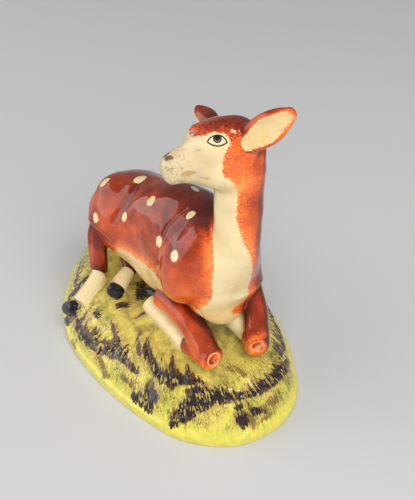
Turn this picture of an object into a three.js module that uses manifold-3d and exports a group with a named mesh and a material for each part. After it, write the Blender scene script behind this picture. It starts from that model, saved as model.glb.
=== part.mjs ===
// A glazed earthenware fawn lying on an oval grassy mound, one casting with a flat underside.
// Millimetres. +X is the way the fawn's chest faces, +Y its left side, +Z up.
// The origin is the middle of the mound's underside.
import * as THREE from 'three';
import { mergeVertices } from 'three/addons/utils/BufferGeometryUtils.js';
import Module from 'manifold-3d';

const wasm = await Module();
wasm.setup();

// Driving dimensions
const MOUND_LENGTH = 140;
const MOUND_WIDTH = 87;
const LIP_HEIGHT = 5;
const FRONT_HEIGHT = 21;
const REAR_HEIGHT = 28;
const REAR_NARROWING = 0.07;
const MUZZLE_AZIMUTH = THREE.MathUtils.degToRad(-102);

const UP = new THREE.Vector3(0, 0, 1);
const FAWN_LEFT = new THREE.Vector3(0, 1, 0);
const HEAD_FORWARD = new THREE.Vector3(Math.cos(MUZZLE_AZIMUTH), Math.sin(MUZZLE_AZIMUTH), 0);
const HEAD_LEFT = new THREE.Vector3().crossVectors(UP, HEAD_FORWARD);

// One closed body from rings of points, a first pole and a last pole. The rings turn
// counterclockwise when seen from the last pole.
function closedBody(firstPole, rings, lastPole) {
  const points = [firstPole, ...rings.flat(), lastPole];
  const around = rings[0].length;
  const last = points.length - 1;
  const at = (ring, step) => 1 + ring * around + (step % around);
  const faces = [];
  for (let step = 0; step < around; step += 1) {
    faces.push(0, at(0, step + 1), at(0, step));
    for (let ring = 0; ring + 1 < rings.length; ring += 1) {
      faces.push(at(ring, step), at(ring, step + 1), at(ring + 1, step + 1));
      faces.push(at(ring, step), at(ring + 1, step + 1), at(ring + 1, step));
    }
    faces.push(last, at(rings.length - 1, step), at(rings.length - 1, step + 1));
  }
  const geometry = new THREE.BufferGeometry();
  const position = new THREE.Float32BufferAttribute(points.flatMap((p) => [p.x, p.y, p.z]), 3);
  geometry.setAttribute('position', position);
  geometry.setIndex(faces);
  return mergeVertices(geometry, 1e-5);
}

function solid(geometry) {
  const vertProperties = new Float32Array(geometry.attributes.position.array);
  const triVerts = new Uint32Array(geometry.index.array);
  return new wasm.Manifold(new wasm.Mesh({ numProp: 3, vertProperties, triVerts }));
}

// A limb: elliptical sections at stations [x, y, z, half width, half depth], joined by a smooth
// curve. The half width lies along side. startRound and endRound give each end cap's length as a
// share of the half width there: 1 is a ball, 0.3 a blunt stump.
function limb(stations, options = {}) {
  const { side = FAWN_LEFT, around = 18, steps = 3, startRound = 1, endRound = 1, capRings = 2 } = options;
  const route = new THREE.CatmullRomCurve3(stations.map(([x, y, z]) => new THREE.Vector3(x, y, z)));
  const sizes = new THREE.CatmullRomCurve3(
    stations.map(([, , , width, depth]) => new THREE.Vector3(width, depth ?? width, 0)),
  );

  const section = (share, slide, shrink) => {
    const tangent = route.getTangent(share);
    const centre = route.getPoint(share).addScaledVector(tangent, slide);
    const across = side.clone().addScaledVector(tangent, -side.dot(tangent)).normalize();
    const deep = new THREE.Vector3().crossVectors(tangent, across);
    const size = sizes.getPoint(share);
    return Array.from({ length: around }, (_, step) => {
      const angle = (2 * Math.PI * step) / around;
      return centre.clone()
        .addScaledVector(across, size.x * shrink * Math.cos(angle))
        .addScaledVector(deep, size.y * shrink * Math.sin(angle));
    });
  };
  const pole = (share, slide) => route.getPoint(share).addScaledVector(route.getTangent(share), slide);

  const startCap = stations[0][3] * startRound;
  const endCap = stations[stations.length - 1][3] * endRound;
  const capAngles = Array.from({ length: capRings }, (_, k) => ((k + 1) * Math.PI) / (2 * (capRings + 1)));
  const count = (stations.length - 1) * steps;
  const rings = [
    ...[...capAngles].reverse().map((angle) => section(0, -startCap * Math.sin(angle), Math.cos(angle))),
    ...Array.from({ length: count + 1 }, (_, k) => section(k / count, 0, 1)),
    ...capAngles.map((angle) => section(1, endCap * Math.sin(angle), Math.cos(angle))),
  ];
  return solid(closedBody(pole(0, -startCap), rings, pole(1, endCap)));
}

// The mound: an oval plan, an upright lip, a steep convex side and a top that rises to the rear.
function moundTop(x) {
  const rearShare = THREE.MathUtils.smoothstep(-x, -30, 50);
  return FRONT_HEIGHT + (REAR_HEIGHT - FRONT_HEIGHT) * rearShare;
}

function moundHeight(x, share) {
  const swell = (1 - share ** 5) ** 0.8;
  return LIP_HEIGHT + (moundTop(x) - LIP_HEIGHT) * swell;
}

// A point of the mound's plan: share is 1 on the rim and 0 in the middle. The rear is narrower.
function planPoint(angle, share) {
  const x = (MOUND_LENGTH / 2) * share * Math.cos(angle);
  const narrowing = 1 - REAR_NARROWING * Math.max(0, -Math.cos(angle));
  const y = (MOUND_WIDTH / 2) * share * narrowing * Math.sin(angle);
  return [x, y];
}

function mound() {
  const around = 44;
  const shares = [1, 0.98, 0.95, 0.91, 0.86, 0.79, 0.68, 0.5, 0.25];
  const ring = (share, height) => Array.from({ length: around }, (_, step) => {
    const [x, y] = planPoint((2 * Math.PI * step) / around, share);
    return new THREE.Vector3(x, y, height(x, share));
  });
  const rings = [
    ring(0.985, () => 0),
    ring(1, () => 1.2),
    ...shares.map((share) => ring(share, moundHeight)),
  ];
  const top = new THREE.Vector3(0, 0, moundHeight(0, 0));
  return solid(closedBody(new THREE.Vector3(0, 0, 0), rings, top));
}

// A blade of grass raised on the mound's side, from low on the side up to near the top.
function blade(angle, lowShare, highShare, lean) {
  const place = (turn, share) => {
    const [x, y] = planPoint(turn, share);
    return [x, y, moundHeight(x, share) - 0.3];
  };
  const middle = (lowShare + highShare) / 2;
  const outward = new THREE.Vector3(Math.cos(angle), Math.sin(angle), 0);
  const side = new THREE.Vector3().crossVectors(UP, outward);
  return limb([
    [...place(angle, lowShare), 1.2, 0.9],
    [...place(angle + lean * 0.4, middle), 2, 1.5],
    [...place(angle + lean, highShare), 0.5, 0.7],
  ], { side, around: 5, steps: 1, capRings: 1 });
}

// Two blades fan out of each tuft, and the tufts stand at uneven steps round the mound.
function grass() {
  const tufts = 10;
  const blades = [];
  for (let tuft = 0; tuft < tufts; tuft += 1) {
    const angle = (2 * Math.PI * (tuft + 0.3 * Math.sin(5 * tuft))) / tufts;
    for (const fan of [-1, 1]) {
      const high = 0.78 + 0.04 * Math.sin(3 * tuft + 2 * fan);
      blades.push(blade(angle + 0.05 * fan, 0.95, high, 0.09 * fan + 0.05));
    }
  }
  return blades;
}

function torso() {
  return limb([
    [-37, -3, 47, 13, 14],
    [-28, -2, 49, 18, 19],
    [-10, 1, 51, 17, 20],
    [7, 2, 54.5, 17.5, 24.5],
    [20, 3.5, 53.5, 18.5, 28],
    [32, 4.5, 49, 16.5, 27.5],
  ], { around: 24, startRound: 0.8, endRound: 0.5 });
}

function shoulders() {
  const options = { around: 14, steps: 2, startRound: 0.8, endRound: 0.5 };
  return [
    limb([[13, -7, 66, 7, 9], [16, -9, 52, 8, 12], [18, -7, 42, 7, 11]], options),
    limb([[14, 12, 66, 7, 9], [21, 14, 54, 8, 11], [27, 14.5, 44, 8, 10]], options),
  ];
}

// The right haunch overhangs the upright shank. The left one is laid down on the mound.
function haunches() {
  return [
    limb([[-28, -9, 58, 10, 11], [-27, -13, 49, 8.5, 13]], { around: 14, steps: 2, endRound: 0.5 }),
    limb([[-34, 8, 42, 11, 12], [-18, 11, 38, 11, 12], [-6, 13, 32, 8, 9]], { around: 14, steps: 2 }),
  ];
}

function hindLegs() {
  return [
    limb([[-27, -17, 46, 5], [-26.5, -19, 36, 4.6], [-26.5, -20, 27, 4.4]], { around: 12, steps: 2 }),
    limb([[-26.5, -20, 26, 4.4], [-28, -27, 21.5, 4], [-29.5, -33, 16.5, 4]], { around: 12, steps: 2, endRound: 0.5 }),
    limb([[-30, -34.5, 15, 3.6], [-31, -37.5, 11.5, 3.3]], { around: 12, steps: 2 }),
    limb([[-20, -8, 36, 4], [-17, -12, 29.5, 3.6], [-15, -18, 26.5, 3.4], [-14, -22, 24.8, 3.5]],
      { around: 12, steps: 2, endRound: 0.4 }),
  ];
}

function forelegs() {
  return [
    limb([[13, -7.5, 37, 6.8], [26, -8.2, 30.5, 6.3], [39, -9, 24, 6]], { around: 14, steps: 2, endRound: 0.45 }),
    limb([[34, -12, 21.5, 3.8], [18, -14, 23.5, 4.4], [5, -13, 26, 3.9]], { around: 12, steps: 2, endRound: 0.4 }),
    limb([[2, -12, 26.8, 3.4], [-3, -9.5, 26.5, 2.6]], { around: 12, steps: 2 }),
    limb([[26, 15, 42, 7.5], [35, 13, 35, 6.8], [44.5, 10.5, 24.5, 6.2]], { around: 14, steps: 2, endRound: 0.45 }),
    limb([[41, 6.5, 22.5, 4.2], [30, 5, 25, 5]], { around: 12, steps: 2 }),
  ];
}

function neck() {
  return limb([
    [28, 4.5, 55, 14.5, 14],
    [34, 5, 67, 11, 11],
    [37.5, 5.5, 79, 8.3, 8.4],
    [37, 6.5, 92, 8, 8.4],
    [36, 7.5, 104, 8.4, 8.8],
  ], { around: 20 });
}

function head() {
  return limb([
    [36.5, 11, 110.5, 7, 8.5],
    [36, 6.5, 111.5, 9, 12],
    [34, -1, 112, 8.8, 12.6],
    [32.6, -8, 111.2, 6.8, 9],
    [31.6, -13.5, 110, 5, 5.8],
    [31.2, -18.5, 109.6, 4.5, 4.5],
  ], { side: HEAD_LEFT, around: 20, startRound: 0.6, endRound: 0.5 });
}

// A spoon-shaped ear from its base to its tip, hollowed on the face that looks along facing.
function ear(base, tip, facing) {
  const along = new THREE.Vector3().subVectors(tip, base);
  const side = new THREE.Vector3().crossVectors(along, facing).normalize();
  const front = new THREE.Vector3().crossVectors(side, along).normalize();
  const station = (share, width, depth, forward) => {
    const place = base.clone().addScaledVector(along, share).addScaledVector(front, forward);
    return [...place.toArray(), width, depth];
  };
  const leaf = limb([
    station(-0.15, 2.8, 2.4, 0),
    station(0.2, 4.6, 2.6, 0),
    station(0.5, 5.3, 2.2, 0),
    station(0.8, 3.6, 1.6, 0),
    station(0.97, 1.2, 1.1, 0),
  ], { side, around: 12, steps: 2 });
  const hollow = limb([
    station(0.1, 2.2, 1.3, 2.4),
    station(0.48, 4.1, 2, 2.4),
    station(0.86, 1.4, 1, 1.6),
  ], { side, around: 10, steps: 2 });
  return leaf.subtract(hollow);
}

function ears() {
  const leftBase = new THREE.Vector3(41, 5.5, 118);
  const leftTip = new THREE.Vector3(51.5, 16, 131.5);
  const rightBase = new THREE.Vector3(29.5, 7, 117.5);
  const rightTip = new THREE.Vector3(18, 2, 119.5);
  const leftFacing = HEAD_FORWARD.clone().addScaledVector(HEAD_LEFT, 1.1);
  const rightFacing = HEAD_FORWARD.clone().addScaledVector(HEAD_LEFT, -0.5);
  return [ear(leftBase, leftTip, leftFacing), ear(rightBase, rightTip, rightFacing)];
}

function tail() {
  return limb([[-42, 0, 58, 3], [-47.5, 0, 52, 3.4], [-50, 0, 43, 2.2]], { around: 10, steps: 2 });
}

function casting() {
  const forms = [
    mound(), ...grass(), torso(), ...shoulders(), ...haunches(), ...hindLegs(), ...forelegs(),
    neck(), head(), ...ears(), tail(),
  ];
  const joined = forms.reduce((whole, form) => whole.add(form));
  const { vertProperties, triVerts } = joined.getMesh();
  const geometry = new THREE.BufferGeometry();
  geometry.setAttribute('position', new THREE.BufferAttribute(vertProperties, 3));
  geometry.setIndex(new THREE.BufferAttribute(triVerts, 1));
  return geometry;
}

const glaze = new THREE.MeshStandardMaterial({ color: 0x9a3416, roughness: 0.15, metalness: 0 });
const figurine = new THREE.Group();
const fawnOnMound = new THREE.Mesh(casting(), glaze);
fawnOnMound.name = 'fawn_on_mound';
figurine.add(fawnOnMound);

export default figurine;
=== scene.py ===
"""A glazed earthenware fawn lying on an oval grassy mound: one casting, sculpted, painted and glazed.

The clay is shaped and painted in millimetres, and its mesh is made in metres.
"""
import math
from itertools import product

import bpy
import numpy as np
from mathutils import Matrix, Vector


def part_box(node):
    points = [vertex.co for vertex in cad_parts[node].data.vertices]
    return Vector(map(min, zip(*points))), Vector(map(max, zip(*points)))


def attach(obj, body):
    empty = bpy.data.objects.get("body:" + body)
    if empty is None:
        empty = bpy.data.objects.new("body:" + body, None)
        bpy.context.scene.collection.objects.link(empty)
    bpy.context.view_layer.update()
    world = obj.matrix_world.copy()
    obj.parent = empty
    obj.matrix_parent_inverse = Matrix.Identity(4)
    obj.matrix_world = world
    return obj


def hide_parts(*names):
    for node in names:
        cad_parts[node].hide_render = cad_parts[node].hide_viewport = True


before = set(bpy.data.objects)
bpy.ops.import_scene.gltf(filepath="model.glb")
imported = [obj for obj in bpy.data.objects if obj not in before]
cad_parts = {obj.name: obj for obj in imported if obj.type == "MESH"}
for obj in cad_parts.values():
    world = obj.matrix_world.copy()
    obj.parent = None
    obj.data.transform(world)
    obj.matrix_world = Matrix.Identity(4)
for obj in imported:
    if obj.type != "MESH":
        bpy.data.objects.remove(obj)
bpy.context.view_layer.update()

NODE = "fawn_on_mound"
MM = 0.001
node_low, node_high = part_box(NODE)
random = np.random.default_rng(7)

HALF_LENGTH = (node_high.x - node_low.x) / MM / 2
HALF_WIDTH = (node_high.y - node_low.y) / MM / 2
MOUND_GIRTH = 2 * math.pi * math.hypot(HALF_LENGTH, HALF_WIDTH) / math.sqrt(2)
FRONT_HEIGHT = 21.0
REAR_HEIGHT = 28.0

# The mound's lip: its height, and where it starts and ends on the way out to the rim
LIP_HEIGHT = 5.0
LIP_START = 0.93
LIP_END = 0.97

# How far the hand-cut rim stands out from the middle, as a share of a true oval, at every 15 degrees
# from the tail by way of the fawn's right, nose and left
RIM_REACH = [0.985, 0.995, 0.965, 0.965, 0.995, 1.01, 0.988, 0.98, 0.99, 1.022, 1.015, 1.005,
             0.99, 1.0, 0.995, 0.965, 0.97, 0.985, 0.985, 0.965, 0.94, 0.93, 0.937, 0.96]

# The clay is a grid of distances, which matter only within a margin of its surface. Paint has soft
# edges that reach further, so far off is further still.
CLAY_STEP = 0.5
CLAY_MARGIN = 5.0
FAR_OFF = 9.0
MOST_TRIANGLES = 190_000
CUBE_CORNERS = list(product((0, 1), repeat=3))

UP = np.array([0.0, 0.0, 1.0])
FAWN_FORWARD = np.array([1.0, 0.0, 0.0])
FAWN_LEFT = np.array([0.0, 1.0, 0.0])
MUZZLE_AZIMUTH = math.radians(-102)
HEAD_FORWARD = np.array([math.cos(MUZZLE_AZIMUTH), math.sin(MUZZLE_AZIMUTH), 0.0])
HEAD_LEFT = np.cross(UP, HEAD_FORWARD)
HEAD_MIDDLE = np.array([34.5, 0.0, 112.0])

# Blades of grass pressed on the near bank: root and tip in plan, and half width
BLADES = [
    ((2.8, -39), (-8.4, -34.8), 1.2), ((3.4, -38.4), (-2.4, -34.7), 1),
    ((6.8, -36.1), (1.1, -33.2), 1), ((12.4, -33), (0.2, -28.2), 1.3),
    ((14, -32.4), (6.6, -28.1), 1.1), ((28.1, -29.6), (9.9, -22.8), 1.2),
    ((29.9, -26.9), (14.9, -21.9), 1.5), ((31.6, -25.1), (17.3, -21), 1.4),
    ((35.9, -25), (27.6, -22.2), 1.2), ((37, -24), (29.4, -18.1), 1.2),
    ((42.3, -19.8), (35.7, -15.9), 1.1), ((43.4, -19), (39.8, -15.3), 1.1),
    ((45.4, -18), (43.5, -14.4), 1), ((53, -9.5), (49.7, -8.7), 1.1),
    ((57.9, 4.9), (55.9, 4.3), 1.1), ((55.4, 17), (50.6, 18.5), 1.1),
]

# The side of the head drawn flat, as seen from in front and above: the eye is at the middle
EYE = np.array([4.1, 6.8, 9.6])
EYE_BACK = np.array([-0.93, 0.37, 0.0])
EYE_ABOVE = np.array([-0.23, -0.58, 0.78])
FACE_EDGE = [
    (-40, 1.9), (-8.8, 1.9), (-5.4, 1.7), (-3.4, 2.2), (-1.3, 2.9), (1.4, 2.7), (3.4, 1.7), (4.3, 0.4),
    (4, -1.7), (2.6, -3.4), (1.8, -6.3), (1.9, -9.7), (2.5, -11.6), (4.9, -12.5), (6.2, -14), (6.6, -17),
    (6.6, -60), (-40, -60),
]

# The hollow end of each foreleg: its middle and radius, and the way both face
KNEE_RINGS = [(np.array([45.2, -9.4, 27.0]), 2.7), (np.array([48.4, 8.4, 27.5]), 2.2)]
KNEE_FACING = np.array([0.94, 0.26, -0.23])

# Dabs of cream slip on the back and right side: their two ends and half width
SPOTS = [
    ((-31, -14.2, 66.3), (-30, -10.2, 69.1), 1.4),
    ((-20, -4.2, 70.3), (-17.6, 0.4, 70.9), 2.2),
    ((7, 6, 79.2), (12.3, 5.2, 80.4), 1),
    ((-1.2, -8.9, 72.3), (-0.3, -6.1, 75.2), 1.9),
    ((-27.6, -19.6, 56.5), (-25.2, -20.5, 53.4), 1.8),
    ((-11.7, -14.5, 60.6), (-12.5, -12.9, 63.8), 1.6),
    ((14.1, -13.8, 64.8), (13, -12.7, 68.4), 1.6),
    ((26.3, -15.4, 67.8), (27, -13.6, 71.2), 1.9),
    ((20.7, -5.8, 78.1), (21, -2.6, 80), 1.3),
]

# Spots right of the spine are mirrored with a shift, so the far side isn't a copy
FAR_SPOT_SHIFT = np.array([0.0, 12.0, -6.0])

# Dark brushwork on the near banks: rows of plan place and half width along each stroke
BRUSHWORK = [
    [(-16.1, -38.2, 2.4), (-10.6, -39.6, 2.4), (-2.8, -38.8, 1.9), (3.4, -37.6, 2.4), (8.1, -35.6, 2.7),
     (13, -33.4, 2.2), (18.2, -33.1, 1.3), (23.9, -32.3, 1)],
    [(13.6, -32.8, 1.5), (6.9, -31.6, 1.3), (-1.5, -29.4, 0.4)],
    [(18.9, -28.2, 0.9), (14.6, -25.6, 0.9), (10.6, -22.9, 0.3)],
    [(34.6, -27.2, 1.2), (32.7, -26.8, 1.6), (26.3, -26.4, 1.7), (20.5, -25.1, 1.3), (14.6, -22.4, 0.5)],
    [(34.1, -25.7, 2.4), (37.5, -23.6, 2.8), (40, -20.9, 2.4), (43.2, -17.4, 1.7), (46.4, -14.6, 1)],
    [(37.5, -24.2, 2), (33, -21.3, 1.3), (28.5, -18.5, 0.4)],
    [(41.9, -19.5, 1.6), (38.6, -17.6, 1), (35.3, -15.8, 0.3)],
    [(33.6, -26.8, 0.8), (40.1, -25.3, 0.7)],
    [(48.2, -31, 1.6), (48.8, -28.2, 3), (49.2, -24.8, 3.8), (50, -20.6, 4.4), (51.6, -15.8, 4),
     (54, -11.8, 2.6), (56.4, -7.4, 1.8), (57.4, -3.4, 1.5), (58.1, 1.8, 1.8), (57.4, 7.2, 2.2),
     (55.8, 13.5, 2.3), (52.2, 20.6, 2), (46.6, 28, 1.6)],
    [(53.4, -12, 1.8), (51.2, -8.8, 0.4)],
    [(60.4, -7.8, 1.8), (62.6, -8.6, 2.8), (64.8, -8.4, 2.2)],
    [(61.4, -3.4, 1), (63.6, -2.2, 1.6), (64.6, 0.8, 1)],
    [(29.4, -36.6, 2.6), (31.8, -35.8, 3), (35.1, -32.6, 3.2), (36.2, -34.9, 2.4)],
    [(-10.3, -31.7, 1.4), (-6, -32.6, 1.1)],
    [(-6.2, -23.6, 1.2), (-3.8, -20.1, 1.3)],
    [(3.7, -20.6, 0.5), (3.2, -16.4, 0.5)],
    [(35.3, 29.3, 1.5), (39.8, 28.7, 1.7), (44.4, 22.2, 1.5)],
    [(44.6, -21.6, 1.4), (48.2, -16.6, 1.8), (51.8, -12.4, 1.4)],
    [(-29.8, -38.9, 2.2), (-26.1, -38.9, 2), (-21.1, -36.8, 1.8)],
    [(-25, -28, 1.6), (-30.6, -26.2, 1.8), (-31.4, -31, 1.8), (-35.2, -35, 1.6)],
    [(-11.5, -9.2, 2.4), (-5, -13.6, 1.8)],
]

# Thinner brown dabs, given in the same way
BROWN_WASHES = [
    [(62.3, -8.8, 2.2), (65.4, -6.2, 2.4), (65.7, -0.6, 2.4), (64.1, 4.4, 2.4), (62.1, 8.9, 1.6)],
    [(5.2, -39.4, 1.6), (11.2, -40.1, 1.8)],
    [(46.3, -1.5, 1.2), (50.2, 1, 1.6)],
    [(46.8, -29.4, 1.8), (50, -27.6, 2.2)],
    [(20, -36.4, 1), (27, -35.6, 1)],
    [(-18, -42.5, 1.4), (-10.8, -43.3, 1.4)],
]


def unit(vector):
    return vector / np.linalg.norm(vector)


def unit_rows(vectors):
    return vectors / np.linalg.norm(vectors, axis=1)[:, None]


def dot(first, second):
    """The sum of the products of two triples, of numbers or of arrays."""
    return sum(a * b for a, b in zip(first, second))


def along_and_across(offsets, direction):
    """How far each offset goes along a direction, and how far to its side."""
    along = offsets @ direction
    return along, np.sqrt(np.maximum(np.sum(offsets ** 2, axis=1) - along ** 2, 0))


def mix(low, high, share):
    return low + (high - low) * share


def smoothstep(value, low, high):
    share = np.clip((value - low) / (high - low), 0, 1)
    return share * share * (3 - 2 * share)


def smooth_min(first, second, blend):
    """The lower of two distances, rounded where they are within blend of each other."""
    if blend <= 0:
        return np.minimum(first, second)
    share = np.clip(0.5 + 0.5 * (second - first) / blend, 0, 1)
    return mix(second, first, share) - blend * share * (1 - share)


def smooth_max(first, second, blend):
    return -smooth_min(-first, -second, blend)


def ellipsoid_distance(*axes):
    """About the distance to an ellipse or ellipsoid: each axis is an offset and a radius."""
    level = np.sqrt(sum((offset / radius) ** 2 for offset, radius in axes))
    slope = np.sqrt(sum((offset / radius ** 2) ** 2 for offset, radius in axes))
    return level * (level - 1) / np.maximum(slope, 1e-6)


def catmull_rom(before, first, second, after, t):
    """The place t of the way from first to second, on a smooth curve through all four."""
    return 0.5 * (2 * first + (second - before) * t
                  + (2 * before - 5 * first + 4 * second - after) * t ** 2
                  + (3 * first - before - 3 * second + after) * t ** 3)


def smooth_curve(points, per_span):
    """Closely spaced points on the smooth curve through the given ones."""
    points = np.asarray(points, float)
    padded = np.vstack([2 * points[0] - points[1], points, 2 * points[-1] - points[-2]])
    rows = [catmull_rom(*padded[start:start + 4], step / per_span)
            for start in range(len(points) - 1) for step in range(per_span)]
    return np.array([*rows, points[-1]])


def wrapped_noise(across, along, cells):
    """Smooth random values from 0 to 1 on a table of the given size, which wraps round."""
    table = random.random(cells)
    column, row = np.floor(across).astype(int), np.floor(along).astype(int)
    u, v = across - column, along - row
    u, v = u * u * (3 - 2 * u), v * v * (3 - 2 * v)

    def value(i, j):
        return table[(column + i) % cells[0], (row + j) % cells[1]]

    return mix(mix(value(0, 0), value(1, 0), u), mix(value(0, 1), value(1, 1), u), v)


class Limb:
    """Elliptical sections at stations (x, y, z, half width, half depth) along a smooth curve.

    The half width lies along side, and a station without a half depth is round. start_cap and end_cap
    are the lengths of the rounded ends, as shares of the half width there.
    """

    def __init__(self, stations, side=FAWN_LEFT, start_cap=1.0, end_cap=1.0, per_span=7):
        rows = [row if len(row) == 5 else (*row, row[3]) for row in stations]
        dense = smooth_curve(rows, per_span)
        self.centres, self.widths, self.depths = dense[:, :3], dense[:, 3], dense[:, 4]
        self.tangents = unit_rows(np.gradient(self.centres, axis=0))
        self.across = unit_rows(side - (self.tangents @ side)[:, None] * self.tangents)
        self.deep = np.cross(self.tangents, self.across)
        self.caps = (start_cap * self.widths[0], end_cap * self.widths[-1])

    def stretches(self):
        return range(len(self.centres) - 1)

    def reach(self, part=slice(None)):
        """Low and high corners of a box round the limb, or round part of its sections."""
        radius = max(self.widths[part].max(), self.depths[part].max(), *self.caps) + CLAY_MARGIN
        return self.centres[part].min(0) - radius, self.centres[part].max(0) + radius

    def stretch_distance(self, k, *places):
        """Distance from points to the k-th stretch of the limb, negative inside.

        A stretch lies between the planes of two sections, and the first and last have rounded caps.
        """
        past_start, past_end = (
            dot([place - middle for place, middle in zip(places, self.centres[n])], self.tangents[n])
            for n in (k, k + 1))
        share = np.clip(past_start / np.maximum(past_start - past_end, 1e-6), 0, 1)
        before, after = np.minimum(past_start, 0), np.maximum(past_end, 0)
        share = np.where(before < 0, 0, np.where(after > 0, 1, share))
        offset = [place - mix(start, end, share)
                  for place, start, end in zip(places, self.centres[k], self.centres[k + 1])]
        u = dot(offset, unit(self.across[k] + self.across[k + 1]))
        v = dot(offset, unit(self.deep[k] + self.deep[k + 1]))
        width = mix(self.widths[k], self.widths[k + 1], share)
        depth = mix(self.depths[k], self.depths[k + 1], share)
        around = ellipsoid_distance((u, width), (v, depth))
        beyond = after - before
        distance = np.where(beyond > 0, np.sqrt(np.maximum(around, 0) ** 2 + beyond ** 2), around)
        for end, past, cap in zip((0, len(self.centres) - 2), (before, after), self.caps):
            if k == end:
                rounded = ellipsoid_distance((u, width), (v, depth), (past, cap))
                distance = np.where(past != 0, rounded, distance)
        return distance

    def distance(self, points):
        """Distance from an array of points to the limb, as far as the clay's margin."""
        low, high = self.reach()
        near = np.all((points > low) & (points < high), axis=1)
        distance = np.full(len(points), CLAY_MARGIN)
        for k in self.stretches():
            distance[near] = np.minimum(distance[near], self.stretch_distance(k, *points[near].T))
        return distance


class Clay:
    """Distances to the clay's surface on a grid, negative inside."""

    def __init__(self, low, high, step):
        self.low, self.step = np.asarray(low, float), step
        self.shape = tuple(np.ceil((np.asarray(high) - self.low) / step).astype(int) + 1)
        self.depth = np.full(self.shape, CLAY_MARGIN, np.float32)

    def window(self, low, high):
        start = np.maximum(np.floor((low - self.low) / self.step).astype(int), 0)
        stop = np.minimum(np.ceil((high - self.low) / self.step).astype(int) + 1, self.shape)
        return tuple(slice(a, max(a, b)) for a, b in zip(start, stop))

    def places(self, window=None):
        """x, y and z on the grid, in a window or throughout, each along its own axis of an array."""
        window = window or [slice(0, count) for count in self.shape]
        lines = [self.low[k] + self.step * np.arange(window[k].start, window[k].stop) for k in range(3)]
        x, y, z = (line.astype(np.float32) for line in lines)
        return x[:, None, None], y[None, :, None], z[None, None, :]

    def form(self, limb):
        """The window round a limb and the distances to it there."""
        window = self.window(*limb.reach())
        form = np.full([part.stop - part.start for part in window], CLAY_MARGIN, np.float32)
        for k in limb.stretches():
            near = self.window(*limb.reach(slice(k, k + 2)))
            local = tuple(slice(n.start - w.start, n.stop - w.start) for n, w in zip(near, window))
            form[local] = np.minimum(form[local], limb.stretch_distance(k, *self.places(near)))
        return window, form

    def add(self, limb, blend=0.0):
        window, form = self.form(limb)
        self.depth[window] = smooth_min(self.depth[window], form, blend)

    def carve(self, limb, blend=0.0):
        window, form = self.form(limb)
        self.depth[window] = smooth_max(self.depth[window], -form, blend)

    def unsettle(self, size, height):
        """Make the surface uneven by hand: soft lumps of about this size, up to this height."""
        x, y, z = (20 + place / size for place in self.places())
        for first, second in ((x, y), (y, z), (z, x)):
            lumps = wrapped_noise(*np.broadcast_arrays(first, second), (64, 64)) - 0.5
            self.depth += (2 / 3 * height * lumps).astype(np.float32)

    def sample(self, points):
        """Distances at an array of points, interpolated."""
        place = (points - self.low) / self.step
        cell = np.clip(np.floor(place).astype(int), 0, np.array(self.shape) - 2)
        share = np.clip(place - cell, 0, 1)
        total = np.zeros(len(points))
        for corner in CUBE_CORNERS:
            weight = np.prod(abs(1 - np.array(corner) - share), axis=1)
            total += weight * self.depth[tuple((cell + corner).T)]
        return total

    def skin(self):
        """Points and four-cornered faces of the surface, by surface nets."""
        inside = self.depth < 0
        count = np.zeros([n - 1 for n in self.shape], np.int8)
        for corner in CUBE_CORNERS:
            count += inside[tuple(slice(c, n - 1 + c) for c, n in zip(corner, self.shape))]
        mixed = (count > 0) & (count < 8)
        cells = np.argwhere(mixed)
        number = np.full(mixed.shape, -1, np.int32)
        number[mixed] = np.arange(len(cells))
        return self.cell_points(cells), net_faces(inside, number)

    def cell_points(self, cells):
        """One point a cell, in the middle of the places where its edges cross the surface."""
        total = np.zeros((len(cells), 3))
        crossings = np.zeros(len(cells))
        for corner, axis in product(CUBE_CORNERS, range(3)):
            if corner[axis]:
                continue
            other = tuple(c + (n == axis) for n, c in enumerate(corner))
            near = self.depth[tuple((cells + corner).T)]
            far = self.depth[tuple((cells + other).T)]
            crossed = (near < 0) != (far < 0)
            point = np.tile(np.array(corner, float), (len(cells), 1))
            point[:, axis] += np.where(crossed, near / np.where(crossed, near - far, 1), 0)
            total += point * crossed[:, None]
            crossings += crossed
        return self.low + self.step * (cells + total / crossings[:, None])


def net_faces(inside, number):
    """A face through the four numbered cells round each grid edge that crosses the surface."""
    faces = []
    for axis in range(3):
        first, second = [n for n in range(3) if n != axis]
        here = inside[tuple(slice(0, -1 if n == axis else None) for n in range(3))]
        there = inside[tuple(slice(int(n == axis), None) for n in range(3))]
        for leaving in (True, False):
            edges = np.argwhere((here & ~there) if leaving else (~here & there))
            ring = []
            for a, b in ((0, 0), (1, 0), (1, 1), (0, 1)):
                cell = edges.copy()
                cell[:, first] -= a
                cell[:, second] -= b
                ring.append(number[tuple(cell.T)])
            ring = np.stack(ring, 1)
            turned = leaving == (axis != 1)
            faces.append(ring[:, ::-1] if turned else ring)
    return np.vstack(faces)


def right_shoulder():
    return Limb([
        (29, -3, 75, 6.5, 7.5), (26.6, -8.5, 64, 7.8, 10.2), (24.4, -9.8, 55.6, 8.2, 10.8),
        (23, -9.4, 50, 7.8, 9.8),
    ], start_cap=0.8, end_cap=0.35)


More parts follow.
